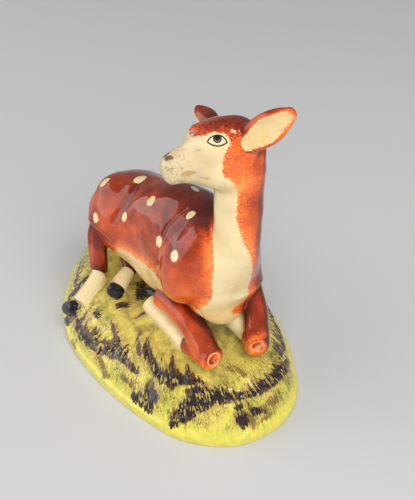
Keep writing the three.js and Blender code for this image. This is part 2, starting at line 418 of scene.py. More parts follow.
def trunk():
    """The forms of the trunk in the order they are pressed together, each with its softness."""
    torso = Limb([
        (-37, -3, 47, 13, 14), (-28, -2, 49.6, 18, 19.4), (-10, 1, 52.6, 17, 21.8),
        (7, 2, 55.2, 17.5, 25.2), (20, 3.5, 58, 18.2, 23.5), (31, 4.5, 55.5, 15.8, 21),
    ], start_cap=0.8, end_cap=0.5)
    # The lowest part of the chest, narrower than the ribs, between the forelegs
    brisket = Limb([(12, 3, 44, 8, 9), (22, 3.4, 41.5, 9.5, 10.5), (33.5, 3.4, 43.4, 10.6, 11.2)],
                   start_cap=0.8, end_cap=0.5)
    belly = Limb([(-12, -4, 43.4, 10, 11), (0, -4, 42.4, 11, 12), (7, -4, 43, 10, 12)])
    neck = Limb([
        (28, 4.8, 55, 14.8, 14), (34, 5.6, 67, 11.8, 11.2), (37.3, 5.5, 79, 9.1, 9.2),
        (36.9, 6.3, 92, 9, 9.3), (35.7, 7, 104, 9.2, 9.6),
    ])
    left_shoulder = Limb([(22, 9.2, 66, 7, 7.5), (26.8, 12, 55, 8, 9.5), (29.8, 12.8, 46, 8.8, 10)],
                         start_cap=0.8, end_cap=0.5)
    right_haunch = Limb([
        (-28.5, -7.4, 60, 10.2, 10.5), (-28, -12.2, 53, 9, 13), (-28, -15.4, 48.4, 7.6, 9.8),
    ], end_cap=0.35)
    left_haunch = Limb([(-34, 8, 42, 11, 12), (-18, 11, 38, 11, 12), (-6, 13, 32, 8, 9)])
    tail = Limb([(-42, 0, 58, 3), (-47.5, 0, 52, 3.4), (-50, 0, 43, 2.2)])
    return [(torso, 0), (brisket, 5), (belly, 4), (neck, 5), (right_shoulder(), 1.6),
            (left_shoulder, 3), (right_haunch, 2.2), (left_haunch, 5), (tail, 2)]


def creases():
    """Valleys pressed between the forms of the right side, each with its softness."""
    before_haunch = Limb([
        (-17, -4.6, 73.2, 0.8), (-14.9, -10.6, 70.2, 1.5), (-15.1, -14.4, 65.4, 1.5),
        (-16.2, -17.6, 59, 0.7)])
    behind_shoulder = Limb([
        (17.2, -3.6, 80.2, 0.5), (15.4, -9.6, 75.2, 0.9), (14.6, -12.8, 70.2, 1.0),
        (14.8, -15.2, 64.5, 1.0), (13, -16.2, 56, 1.0), (9.8, -15.4, 47, 1.1)])
    under_haunch = Limb([
        (-33, -21.6, 45.6, 0.7), (-28.4, -22.8, 45.4, 0.9), (-23.6, -21.6, 45.4, 0.9), (-18, -19, 46, 0.8)])
    under_shoulder = Limb([
        (11, -15, 47, 0.9), (19, -16, 46.4, 1.0), (27.5, -13.6, 46, 1.0), (31.5, -9.6, 43.4, 1.0),
        (33.4, -6.6, 40.6, 0.7)])
    return [(before_haunch, 3.0), (behind_shoulder, 1.0), (under_haunch, 0.8), (under_shoulder, 0.8)]


def knee_hollows():
    """The round end of each foreleg, a little hollow inside its rim."""
    return [Limb([(*(middle + 1.6 * KNEE_FACING), radius), (*(middle - 0.7 * KNEE_FACING), 0.8 * radius)],
                 start_cap=0.3, end_cap=0.2)
            for middle, radius in KNEE_RINGS]


def head_place(forward, left, up):
    """A place on the head, measured from the middle of the skull."""
    return HEAD_MIDDLE + forward * HEAD_FORWARD + left * HEAD_LEFT + up * UP


def head_axes(points):
    """Forward, left and up from the middle of the skull."""
    offset = points - HEAD_MIDDLE
    return offset @ HEAD_FORWARD, offset @ HEAD_LEFT, offset @ UP


def head_limb(rows, **caps):
    """A form of the head, from rows of forward, left, up, half width and half depth."""
    return Limb([(*head_place(*row[:3]), *row[3:]) for row in rows], side=HEAD_LEFT, **caps)


def skull():
    return head_limb([
        (-11.5, 0, -1.5, 7, 8.5), (-6.7, 0, -0.4, 9, 12.3), (1, 0, 0.3, 8.9, 13),
        (8.2, 0, -0.6, 7, 9.8), (13.8, 0, -1.2, 5.2, 6.2), (18.8, 0.4, -1.8, 4.7, 4.3),
    ], start_cap=0.6, end_cap=0.5)


def face_forms(side):
    """The brow, cheek and lip on one side of the face; side is 1 on the fawn's left, -1 on its right."""
    return [
        head_limb([(0.5, side * 4.2, 6.6, 3.4, 4.2), (7.2, side * 4, 6, 3.2, 3.9)], end_cap=0.9),
        head_limb([(-4, side * 4.4, -4.5, 4.8, 6.5), (3.5, side * 3.6, -5, 4, 5.2)]),
        head_limb([(13, side * 2.2, -3.7, 2.8, 2.9), (17.6, side * 2, -3.3, 2.7, 2.6)], end_cap=0.8),
    ]


def nose():
    return head_limb([(15.5, 0.2, 0.6, 3.3, 2.8), (18.6, 0.3, -0.4, 3.5, 2.9)], end_cap=0.7)


def face_hollows(side):
    """The nostril and the line of the mouth on one side of the face."""
    return [
        head_limb([(18.6, side * 4.6, 0.4, 0.9, 0.8), (19.6, side * 3.8, 0, 0.9, 0.8)]),
        head_limb([(21, side * 2, -4.2, 0.35), (16, side * 5.2, -4.8, 0.35), (9.5, side * 6.4, -5.6, 0.3)]),
    ]


def red_shanks():
    """The red of the hind legs: the right shank, made of bone and tendon, and the end of the left one."""
    return [
        Limb([(-28, -18.4, 47, 3.5), (-27.2, -19.8, 37, 3.2), (-26.8, -20.4, 28, 3.2)]),
        Limb([(-30, -18, 52, 2.6), (-30.2, -20.6, 45, 2.5), (-29.8, -21.4, 37, 2.3), (-29, -22, 28.5, 2.1)]),
        Limb([(-25, -8, 40, 3.2), (-21, -10.5, 35, 2.9), (-15.6, -11.8, 30.4, 2.7)]),
    ]


def right_forearm():
    return Limb([
        (11.6, -11.2, 35.6, 5.2), (17.8, -10, 36, 5.4), (25.2, -9, 34, 5.4), (32.4, -8.7, 30.8, 5.4),
        (38.6, -9, 27.5, 5.4),
    ], start_cap=0.6)


def left_forearm():
    return Limb([(28.9, 16.4, 43, 6.3), (37, 15.5, 35, 5.1), (43.2, 12.4, 28, 5.1), (45.2, 11, 24.8, 5.2)])


def knees():
    return [
        Limb([(30, -11.4, 23.6, 4.0), (36.4, -10, 25.6, 5.2), (43.4, -8.9, 25.9, 5.2)],
             start_cap=0.5, end_cap=0.4),
        Limb([(43.7, 11.1, 23.8, 5.2), (46.2, 10.4, 24, 4.9)], end_cap=0.6),
        Limb([(43.4, 10.2, 27.8, 4.3), (48.2, 8.6, 27, 3.8)], start_cap=0.8, end_cap=0.15),
    ]


def red_legs():
    return [*red_shanks(), right_forearm(), left_forearm(), *knees()]


def cream_legs():
    """The cream stretches: both hind cannons and both fore cannons."""
    return [
        Limb([(-25, -22, 25.6, 3.7), (-22.8, -27.4, 22.6, 4.0), (-20.8, -33.8, 19.2, 3.9)],
             start_cap=0.4, end_cap=0.15),
        Limb([(-15.2, -13.4, 30.4, 2.9), (-13, -17.4, 29.2, 3.6), (-11, -20.6, 28.2, 3.9)],
             start_cap=0.5, end_cap=0.15),
        Limb([(27, -11.6, 22.6, 3.5), (20, -11.6, 24, 3.9), (9.5, -12.4, 25.2, 4.2), (2.8, -12.7, 26.2, 4.2)],
             end_cap=0.15),
        Limb([(41.4, 12, 23.4, 3.9), (34.9, 10.8, 26, 4.3), (31, 9.6, 28.8, 4.8)]),
    ]


def hooves():
    return [
        Limb([(-24.4, -36.2, 14.6, 3.2), (-28, -36.9, 11.8, 3.3)]),
        Limb([(-11.4, -20.6, 28.5, 3.5), (-9.4, -23, 28.1, 3.7)], end_cap=0.5),
        Limb([(-4.4, -11.4, 26.2, 1.8), (-1, -9.6, 27.4, 2.4), (3, -8.4, 28.4, 1.8)]),
    ]


def ear(base, tip, facing, wide=1.0):
    """A spoon-shaped ear, as the leaf and the hollow on the face that looks along facing."""
    base, tip = np.array(base, float), np.array(tip, float)
    along = tip - base
    side = unit(np.cross(along, facing))
    front = unit(np.cross(side, along))

    def station(share, width, depth, forward=0.0):
        return (*(base + share * along + forward * front), wide * width, depth)

    leaf = Limb([station(-0.15, 3.2, 2.6), station(0.18, 5.3, 2.7), station(0.5, 5.8, 2.3),
                 station(0.8, 4.2, 1.8), station(0.95, 2.4, 1.4)], side=side, end_cap=0.7)
    hollow = Limb([station(0.08, 2.6, 1.4, 2.6), station(0.45, 4.6, 2.3, 2.6),
                   station(0.84, 2.4, 1.2, 2)], side=side)
    return leaf, hollow


def ears():
    left_facing = HEAD_FORWARD + 1.1 * HEAD_LEFT
    right_facing = np.array([0.0, 0.5, -1.0])
    return [
        ear((41.3, 5.8, 117.6), (51.4, 16, 130.8), left_facing, wide=0.96),
        ear((26.8, 3, 117.3), (14, 4, 118.4), right_facing, wide=0.64),
    ]


def sculpt_head(clay):
    clay.add(skull(), blend=4)
    for side in (1, -1):
        for form, softness in zip(face_forms(side), (3, 3, 2)):
            clay.add(form, blend=softness)
    clay.add(nose(), blend=2)
    for side in (1, -1):
        for hollow in face_hollows(side):
            clay.carve(hollow, blend=0.6)


def sculpt_fawn(clay):
    for form, softness in trunk():
        clay.add(form, blend=softness)
    sculpt_head(clay)
    clay.unsettle(size=8, height=0.8)
    for leaf, hollow in ears():
        clay.add(leaf, blend=2)
        clay.carve(hollow, blend=1)
    for crease, softness in creases():
        clay.carve(crease, blend=softness)
    for leg, softness in zip(cream_legs(), (0.8, 0.8, 0.8, 2.4)):
        clay.add(leg, blend=softness)
    for leg in red_legs() + hooves():
        clay.add(leg, blend=0.8)
    for hollow in knee_hollows():
        clay.carve(hollow, blend=0.3)
    clay.unsettle(size=4, height=0.25)


def plan_turn(x, y):
    """Which way a place lies from the mound's middle, as a share of a turn round the oval."""
    return np.arctan2(y / HALF_WIDTH, x / HALF_LENGTH) / (2 * math.pi)


def oval_share(x, y):
    """How far out on a true oval of the mound's size: 0 in the middle, 1 on its edge."""
    return np.sqrt((x / HALF_LENGTH) ** 2 + (y / HALF_WIDTH) ** 2)


def mound_share(x, y):
    """How far out on the mound's own plan: 0 in the middle, 1 on the rim."""
    x, y = np.asarray(x, float), np.asarray(y, float)
    place = (plan_turn(x, y) + 0.5) * len(RIM_REACH)
    start = np.floor(place).astype(int)
    reaches = [np.array(RIM_REACH)[(start + k) % len(RIM_REACH)] for k in (-1, 0, 1, 2)]
    return oval_share(x, y) / catmull_rom(*reaches, place - start)


def mound_top(x):
    """The height of the mound's back, which climbs from 30 mm before the middle to 50 mm behind it."""
    return mix(FRONT_HEIGHT, REAR_HEIGHT, smoothstep(-np.asarray(x), -30, 50))


def mound_height(x, y):
    flatness, steepness = 5, 0.85
    share = np.clip(mound_share(x, y) / LIP_END, 0, 1)
    return LIP_HEIGHT + (mound_top(x) - LIP_HEIGHT) * (1 - share ** flatness) ** steepness


def combed_strokes(x, y, height, stroke_width, stroke_length):
    """Ridges from 0 to 1 that run down the mound's side, as a comb or stiff brush leaves them."""
    columns = round(MOUND_GIRTH / stroke_width)
    column = plan_turn(x, y) * columns
    down = (HALF_WIDTH * mound_share(x, y) + (mound_top(x) - height)) / stroke_length
    waver = 1.2 * wrapped_noise(column / 6, down, (round(columns / 6), 64))
    return 1 - abs(2 * wrapped_noise(column + waver, down, (columns, 64)) - 1)


def mound_relief(x, y, height):
    """How far the combed grass stands above the smooth mound, in millimetres."""
    share = mound_share(x, y)
    on_lip = smoothstep(share, LIP_START, LIP_END)
    on_side = smoothstep(share, 0.6, 0.82) * (1 - on_lip)
    wide, narrow = (combed_strokes(x, y, height, *size) for size in ((1.9, 7), (1.2, 4)))
    strokes = (0.6 * wide + 0.4 * narrow) - 0.5
    lumps = wrapped_noise(x / 9 + 20, y / 9 + 20, (64, 64)) - 0.5
    fine_lumps = wrapped_noise(x / 4 + 40, y / 4 + 40, (96, 96)) - 0.5
    return (strokes * mix(0.2, 0.95, on_side) + 0.8 * lumps + 0.45 * fine_lumps) * (1 - 0.85 * on_lip)


def mound_place(x, y, lift=0.0):
    return (x, y, float(mound_height(x, y)) + lift)


def blade(root, tip, width):
    """A blade of grass pressed on the mound's side, from its root to its tip in plan."""
    root, tip = np.array(root, float), np.array(tip, float)
    outward = unit(np.array([*root, 0.0]))
    side = np.cross(UP, outward)
    rows = []
    for share, spread in ((0, 0.7), (0.35, 1.0), (0.7, 0.75), (1, 0.3)):
        x, y = mix(root, tip, share)
        rows.append((*mound_place(x, y, 0.25 * spread), width * spread, 0.95 * spread + 0.15))
    return Limb(rows, side=side, start_cap=0.8, end_cap=1.0, per_span=3)


def sculpt_mound(clay):
    """Heights turned into distances by the lean of the side, cut off at the rim, with blades pressed on."""
    x, y, z = clay.places()
    height = mound_height(x, y)
    rise_x, rise_y = np.gradient(height[:, :, 0], clay.step)
    lean = np.sqrt(1 + rise_x ** 2 + rise_y ** 2)[:, :, None]
    above = (z - height) / np.minimum(lean, 3) - mound_relief(x, y, height)
    outward = (mound_share(x, y) - 1) * HALF_WIDTH
    clay.depth = smooth_max(above, outward, 2.0).astype(np.float32)
    for root, tip, width in BLADES:
        clay.add(blade(root, tip, width), blend=0.5)


def casting():
    """The fawn's clay, the mound's, and both as one with a flat underside."""
    margin = 3.0
    low = np.array(node_low) / MM - margin
    high = np.array(node_high) / MM + margin
    low[2] = -1.5 * CLAY_STEP
    fawn, mound, whole = (Clay(low, high, CLAY_STEP) for _ in range(3))
    sculpt_fawn(fawn)
    sculpt_mound(mound)
    floor = whole.places()[2]
    whole.depth = np.maximum(smooth_min(fawn.depth, mound.depth, 1.2), -floor)
    return fawn, mound, whole


def flat_side(points):
    """Places on either side of the head as if it were flat: back and above the eye, in millimetres."""
    forward, left, up = head_axes(points)
    offset = np.stack([forward, abs(left), up], axis=1) - EYE
    return offset @ EYE_BACK, offset @ EYE_ABOVE


def outline_distance(across, over, corners):
    """Distance from flat places to a closed outline, negative inside."""
    inside = np.zeros(len(across), bool)
    least = np.full(len(across), 1e3)
    for (x0, y0), (x1, y1) in zip(corners, corners[1:] + corners[:1]):
        share = np.clip(((across - x0) * (x1 - x0) + (over - y0) * (y1 - y0))
                        / ((x1 - x0) ** 2 + (y1 - y0) ** 2), 0, 1)
        least = np.minimum(least, np.hypot(across - mix(x0, x1, share), over - mix(y0, y1, share)))
        crossed = (y0 > over) != (y1 > over)
        where = mix(x0, x1, (over - y0) / (y1 - y0 if y1 != y0 else 1.0))
        inside ^= crossed & (across < where)
    return np.where(inside, -least, least)


def face_patch(points):
    """Distance to the edge of the cream face, which ends under the crown, at the cheek and at the throat."""
    back, above = flat_side(points)
    throat = -13.5 - head_axes(points)[2]
    face = np.maximum(outline_distance(back, above, FACE_EDGE), throat)
    return np.maximum(face, -forelock().distance(points))


def forelock():
    """Where the red of the crown comes down over the right of the forehead."""
    return Limb([(29.2, -5.2, 122.8, 1.8), (29.4, -7, 122.3, 2.0), (30.6, -8.8, 121.5, 1.5)])


def bib():
    """The cream front of the neck and chest, as a form that cuts the skin along its edge."""
    return Limb([
        (36.7, -2.6, 103, 7.8), (37.5, -3, 90, 7.4), (41.4, -2.2, 80, 6.2), (43.6, -0.6, 70, 7.0),
        (44.3, 0.2, 60, 8.4), (43, 0.7, 50, 8.6), (37, 0, 38, 11), (31, 1, 28, 13),
    ])


def belly_patch(points):
    x, y, z = points.T
    right_edge = np.interp(x, [-20, -14, -8, 0, 8, 13, 17], [36, 46.4, 47.4, 48.6, 49.6, 48, 38])
    left_edge = np.interp(x, [-8, -4, 2, 9, 16], [0, 30, 42, 40, 33])
    return 0.85 * (z - np.where(y < 2, right_edge, left_edge))


def left_elbow_patch():
    """Where the red comes in under the bib to the left foreleg."""
    return Limb([(36.8, 16, 41.8, 6), (37.6, 10.8, 40.8, 4.6), (39.3, 5.4, 40.8, 2.4)])


def front_patch(points):
    """Distance to the edge of the cream throat, chest and belly, which shoulder and left elbow cut."""
    elbow_height, overlap = 49, 0.8
    shoulder_cut = overlap - right_shoulder().distance(points)
    shoulder_cut = np.where(points[:, 2] < elbow_height, shoulder_cut, -CLAY_MARGIN)
    front = np.maximum(np.minimum(bib().distance(points), belly_patch(points)), shoulder_cut)
    return np.maximum(front, -left_elbow_patch().distance(points))


def nearest(limbs, points):
    return np.min([limb.distance(points) for limb in limbs], axis=0)


def knee_ring_distance(points):
    """How far outside the rim of the nearer knee's hollow, measured across the hollow."""
    nearest_ring = np.full(len(points), CLAY_MARGIN)
    for middle, radius in KNEE_RINGS:
        outward, across = along_and_across(points - middle, KNEE_FACING)
        nearer = np.minimum(nearest_ring, across - radius)
        nearest_ring = np.where(abs(outward) < 2.5, nearer, nearest_ring)
    return nearest_ring


def spot_dabs():
    """Middle, half length as a vector and half width of each spot, and of its like on the far side."""
    for first, second, half_width in SPOTS:
        first, second = np.array(first), np.array(second)
        middle, along = (first + second) / 2, (second - first) / 2
        yield middle, along, half_width
        if middle[1] < 0:
            shift = (*random.uniform(-3, 3, 2), 0) + FAR_SPOT_SHIFT
            yield middle * (1, -1, 1) + shift, along * (1, -1, 1), half_width


def spot_distance(points):
    """Distance to the edge of the nearest spot, each laid on the skin where it is nearest."""
    fullness = 1.12
    nearest_spot = np.full(len(points), FAR_OFF)
    for wanted, along, half_width in spot_dabs():
        laid = points[np.argmin(np.linalg.norm(points - wanted, axis=1))]
        lengthwise, sideways = along_and_across(points - laid, unit(along))
        level = np.hypot(lengthwise / np.linalg.norm(along), sideways / half_width)
        nearest_spot = np.minimum(nearest_spot, (level - fullness) * half_width)
    return nearest_spot


def nostril_dab(side):
    return head_limb([(19.2, side * 1.1, 3.1, 1.05), (18.2, side * 1.7, 3.4, 0.8)])


def mouth_dabs(side):
    """Tan dabs behind the corner of the mouth, one under it and a faint one on the cheek."""
    return [
        head_limb([(15.6, side * 5, -1.7, 0.6), (13.8, side * 5.3, -1.6, 1.1),
                   (11.8, side * 5.6, -1.5, 0.6)]),
        head_limb([(10.2, side * 6, -4, 0.35), (7.3, side * 7, -4.3, 0.45)]),
        head_limb([(10.6, side * 5, 6.2, 0.2), (9.6, side * 5.9, 6.9, 0.2)]),
    ]


def pale_touches():
    """Cream touches at the roots of the ears: the rim of the far one, and a dab before the near one."""
    return [
        Limb([(16.5, 1.3, 116.8, 1.0), (21.6, 0.5, 116.2, 1.2)]),
        Limb([(39.9, 0.6, 123.1, 0.25), (40.3, 1.5, 122.6, 0.25)]),
    ]


def stroke(rows):
    """A brush stroke over the mound, from rows of plan place and half width."""
    return Limb([(*mound_place(x, y), half_width) for x, y, half_width in rows])


def flicks(rows):
    """Short tapering flicks up the bank along a stroke, as rows like its own."""
    spacing = 2.6
    made = []
    for (x0, y0, width0), (x1, y1, width1) in zip(rows, rows[1:]):
        for share in np.arange(0, 1, spacing / max(math.hypot(x1 - x0, y1 - y0), spacing)):
            place = np.array([mix(x0, x1, share), mix(y0, y1, share)])
            width = mix(width0, width1, share)
            lean = random.uniform(-0.5, 0.5)
            uphill = -unit(place / (HALF_LENGTH ** 2, HALF_WIDTH ** 2))
            uphill = unit(uphill + lean * np.array([-uphill[1], uphill[0]]))
            length = random.uniform(0.6, 1.9) * width
            thick = random.uniform(0.3, 0.55) * width
            middle = place + (0.4 * width + 0.4 * length) * uphill
            tip = place + (0.5 * width + length) * uphill
            made.append([(*place, thick), (*middle, 0.7 * thick), (*tip, 0.12 * thick)])
    return made


def far_brushwork():
    """Strokes for the banks that the near ones leave bare, made in the same way."""
    rows = []
    for turn in np.arange(50, 235, 17):
        angle = math.radians(turn + random.uniform(-4, 4))
        share = random.uniform(0.84, 0.93)
        sweep = math.radians(random.uniform(7, 13))
        row = []
        for part, fullness in ((-1, 0.6), (-0.3, 1), (0.3, 1), (1, 0.6)):
            out = share + random.uniform(-0.02, 0.02)
            row.append((out * math.cos(angle + part * sweep) * HALF_LENGTH,
                        out * math.sin(angle + part * sweep) * HALF_WIDTH,
                        random.uniform(1.2, 2.6) * fullness))
        rows.append(row)
    return rows


def mound_measures(points):
    """Distances to the brushwork, and where each point is on the mound and its combing."""
    x, y, z = points.T
    strokes = BRUSHWORK + far_brushwork()
    strokes += [flick for rows in strokes for flick in flicks(rows)]
    level = np.maximum(oval_share(x, y), 0.05)
    rim = MOUND_GIRTH / (2 * math.pi) / level
    return {
        "out": mound_share(x, y),
        "relief": z - mound_height(x, y),
        "brushwork": nearest([stroke(rows) for rows in strokes], points),
        "washes": nearest([stroke(rows) for rows in BROWN_WASHES], points),
        "combed_x": rim * x / HALF_LENGTH,
        "combed_y": rim * y / HALF_WIDTH,
        "combed_down": HALF_WIDTH * level - z,
    }


def fawn_measures(points, normals):
    """Distances to the painted patches of the fawn, and how far forward on the muzzle a point is."""
    z = points[:, 2]
    chin_height, bare_seam, knee_depth = 98, 0.7, 2.6
    leaves, hollows = zip(*ears())
    red_leg, cream_leg, hoof, ear_leaf = (
        nearest(limbs, points) for limbs in (red_legs(), cream_legs(), hooves(), leaves))
    cream = np.minimum(face_patch(points), front_patch(points))
    on_limb = np.minimum(np.minimum(red_leg, cream_leg), ear_leaf) < bare_seam
    return {
        "soft_cream": np.maximum(cream, 1.8 - 3 * np.minimum(red_leg, ear_leaf)),
        "fringe": np.where(on_limb, FAR_OFF, np.maximum(cream, 0) * mix(1, 0.6, smoothstep(z, 88, 106))),
        "socks": np.maximum(cream_leg - 0.5, cream_leg - red_leg),
        "hooves": np.maximum(hoof - 0.6, hoof - cream_leg),
        "shanks": nearest(red_shanks(), points),
        "right_forearm": right_forearm().distance(points),
        "knees": nearest(knees(), points - knee_depth * normals),
        "knee_rings": knee_ring_distance(points),
        "spots": spot_distance(points),
        "ears": ear_leaf,
        "ear_insides": nearest([*hollows, *pale_touches()], points) - 0.35,
        "muzzle": np.where(z > chin_height, head_axes(points)[0], 0),
        "nostrils": nearest([nostril_dab(side) for side in (1, -1)], points),
        "mouth": nearest([dab for side in (1, -1) for dab in mouth_dabs(side)], points),
    }


def glaze_measures(points, normals, fawn, mound, whole):
    """What the glaze is painted by: for each patch, every point's distance to its edge in millimetres.

    It is negative inside. The mound comes before the fawn, as its strokes draw their random numbers first.
    """
    feeler = 2.5
    return {
        "grass": fawn.sample(points) - mound.sample(points),
        "recess": feeler - whole.sample(points + feeler * normals),
        "ridge": feeler + whole.sample(points - feeler * normals),
        **mound_measures(points),
        **fawn_measures(points, normals),
    }


def new_object(name, data):
    made = bpy.data.objects.new(name, data)
    bpy.context.scene.collection.objects.link(made)
    return made


def read_rows(items, name, count):
    values = np.empty(3 * count, np.float32)
    items.foreach_get(name, values)
    return values.reshape(-1, 3).astype(float)


def build_fawn():
    fawn, mound, whole = casting()
    points, faces = whole.skin()
    mesh = bpy.data.meshes.new(NODE)
    mesh.from_pydata(points * MM, [], faces)
    mesh.validate()
    piece = new_object("glazed_fawn_on_mound", mesh)
    thin = piece.modifiers.new("fewer faces", "DECIMATE")
    thin.ratio = min(1.0, MOST_TRIANGLES / (2 * len(faces)))
    graph = bpy.context.evaluated_depsgraph_get()
    mesh = bpy.data.meshes.new_from_object(piece.evaluated_get(graph))
    piece.data = mesh
    piece.modifiers.clear()
    mesh.shade_smooth()
    count = len(mesh.vertices)
    points = read_rows(mesh.vertices, "co", count) / MM
    normals = read_rows(mesh.vertex_normals, "vector", count)
    for name, values in glaze_measures(points, normals, fawn, mound, whole).items():
        mesh.attributes.new(name, "FLOAT", "POINT").data.foreach_set("value", values.astype(np.float32))
    mesh.materials.append(glazed_earthenware())
    return piece


def maths_method(operation, swapped=False):
    """A method that puts a wire through a Math node, as its second value if swapped."""

    def through_node(wire, *others):
        values = (*others, wire) if swapped else (wire, *others)
        return wire.finish.maths(operation, *values)
    return through_node


class Wire:
    """A value on its way between a material's nodes, with the arithmetic that adds Math nodes."""

    def __init__(self, finish, socket):
        self.finish, self.socket = finish, socket

    __add__ = __radd__ = maths_method("ADD")
    __sub__ = maths_method("SUBTRACT")
    __rsub__ = maths_method("SUBTRACT", swapped=True)
    __mul__ = __rmul__ = maths_method("MULTIPLY")
    __abs__ = maths_method("ABSOLUTE")
    least = maths_method("MINIMUM")
    most = maths_method("MAXIMUM")

    def step(self, low, high):
        """0 at low, 1 at high and smooth between; low may be the higher one."""
        return self.finish.node("ShaderNodeMapRange", {"interpolation_type": "SMOOTHSTEP"},
                                {"Value": self, "From Min": low, "From Max": high})


class Finish:
    """A material, and the few ways in which its nodes are made."""

    def __init__(self, name):
        self.material = bpy.data.materials.new(name)
        self.material.use_nodes = True
        self.tree = self.material.node_tree
        self.shader = self.tree.nodes["Principled BSDF"]

    def connect(self, socket, value):
        if isinstance(value, Wire):
            self.tree.links.new(value.socket, socket)
        else:
            socket.default_value = value

    def node(self, kind, settings=None, sockets=None, output=0):
        """A new node: its settings come first, a ramp's stops among them, then its sockets."""
        made = self.tree.nodes.new(kind)
        for name, value in (settings or {}).items():
            if name == "stops":
                self.set_stops(made.color_ramp, value)
            else:
                setattr(made, name, value)
        for key, value in (sockets or {}).items():
            self.connect(made.inputs[key], value)
        return Wire(self, made.outputs[output])

    def set_stops(self, ramp, stops):
        while len(ramp.elements) < len(stops):
            ramp.elements.new(1.0)
        for element, (place, *parts) in zip(ramp.elements, stops):
            element.position = place
            element.color = colour(*parts)

    def maths(self, operation, *values):
        return self.node("ShaderNodeMath", {"operation": operation}, dict(enumerate(values)))

    def attribute(self, name):
        return self.node("ShaderNodeAttribute", {"attribute_name": name}, output="Fac")

    def place(self):
        """The place on the object in millimetres."""
        coordinates = self.node("ShaderNodeTexCoord", output="Object")
        return self.node("ShaderNodeVectorMath", {"operation": "SCALE"}, {0: coordinates, "Scale": 1 / MM})

    def along(self, place, direction):
        """How far a place or a normal goes in a direction."""
        return self.node("ShaderNodeVectorMath", {"operation": "DOT_PRODUCT"},
                         {0: place, 1: tuple(direction)}, "Value")

    def facing(self, direction):
        """How far the surface faces a direction: 1 straight at it, -1 away from it."""
        return self.along(self.node("ShaderNodeNewGeometry", output="Normal"), direction)

    def combing(self):
        """The place on the mound as the comb sees it: round the rim in two axes, and slowly down."""
        return self.node("ShaderNodeCombineXYZ", sockets={
            "X": self.attribute("combed_x"), "Y": self.attribute("combed_y"),
            "Z": 0.2 * self.attribute("combed_down")})

    def noise(self, place, size, detail=2.0, roughness=0.5):
        """Soft random values round 0.5, whose blotches are about size across."""
        return self.node("ShaderNodeTexNoise", sockets={
            "Vector": place, "Scale": 1 / size, "Detail": detail, "Roughness": roughness})

    def blend(self, share, first, second):
        """The first colour where share is 0 and the second where it is 1."""
        return self.node("ShaderNodeMix", {"data_type": "RGBA"}, {0: share, 6: first, 7: second}, 2)

    def ramp(self, value, stops):
        return self.node("ShaderNodeValToRGB", {"stops": stops}, {"Fac": value})

    def bump(self, height, distance, strength):
        return self.node("ShaderNodeBump", sockets={
            "Height": height, "Distance": distance, "Strength": strength})

    def surface(self, values):
        for name, value in values.items():
            self.connect(self.shader.inputs[name], value)


def colour(red, green, blue):
    """A colour given as a screen shows it, 0 to 255, as the light that shaders take."""
    parts = [part / 255 for part in (red, green, blue)]
    return (*(part / 12.92 if part <= 0.04045 else ((part + 0.055) / 1.055) ** 2.4 for part in parts), 1.0)


CREAM = colour(240, 227, 180)
# Warm cream, both for warm patches and for painted shade
WARM_AND_SHADED_CREAM = colour(226, 194, 134)
GREY_CREAM = colour(204, 184, 148)
MUZZLE_SPECKS = colour(120, 98, 70)
NOSTRIL_BROWN = colour(92, 62, 44)
MOUTH_TAN = colour(182, 144, 74)
EYE_WHITE = colour(226, 210, 168)
EYE_TAN = colour(150, 118, 70)
IRIS_LINE = colour(40, 44, 36)
LID_LINE = colour(38, 46, 40)
BLACK = colour(22, 20, 24)
# A painted highlight for the knee rims
PAINTED_KNEE_HIGHLIGHT = colour(255, 180, 124)
BARE_CLAY = colour(214, 196, 164)
SCRATCH_BROWN = colour(80, 60, 32)
WASH_BROWN = colour(116, 84, 50)
STROKE_EDGE_TAN = colour(178, 140, 84)
# The lip's own yellow and green, made brighter as painted light on the low rim where little light falls
LIT_LIP_GREEN = colour(208, 204, 90)
LIT_LIP_YELLOW = colour(230, 212, 92)

# Ramps of colour, each stop with its place
# The red runs from thin glaze to thick, and painted shade also pushes it darker
RED_THIN_TO_THICK_AND_SHADED = [
    (0.0, 252, 162, 84), (0.16, 242, 122, 50), (0.36, 220, 96, 38),
    (0.6, 168, 60, 26), (0.8, 118, 36, 14), (1.0, 84, 24, 10),
]
GRASS_GREEN_TO_TAN = [
    (0.28, 140, 132, 62), (0.42, 184, 176, 76), (0.54, 220, 208, 92),
    (0.68, 214, 192, 98), (0.84, 184, 150, 90),
]
TOP_OLIVE_TO_YELLOW = [
    (0.36, 154, 134, 72), (0.5, 194, 172, 86), (0.64, 212, 198, 98),
]
BRUSHWORK_TAN_TO_BLACK = [
    (0.1, 160, 126, 78), (0.35, 110, 80, 48), (0.58, 68, 48, 36),
    (0.8, 44, 33, 36),
]


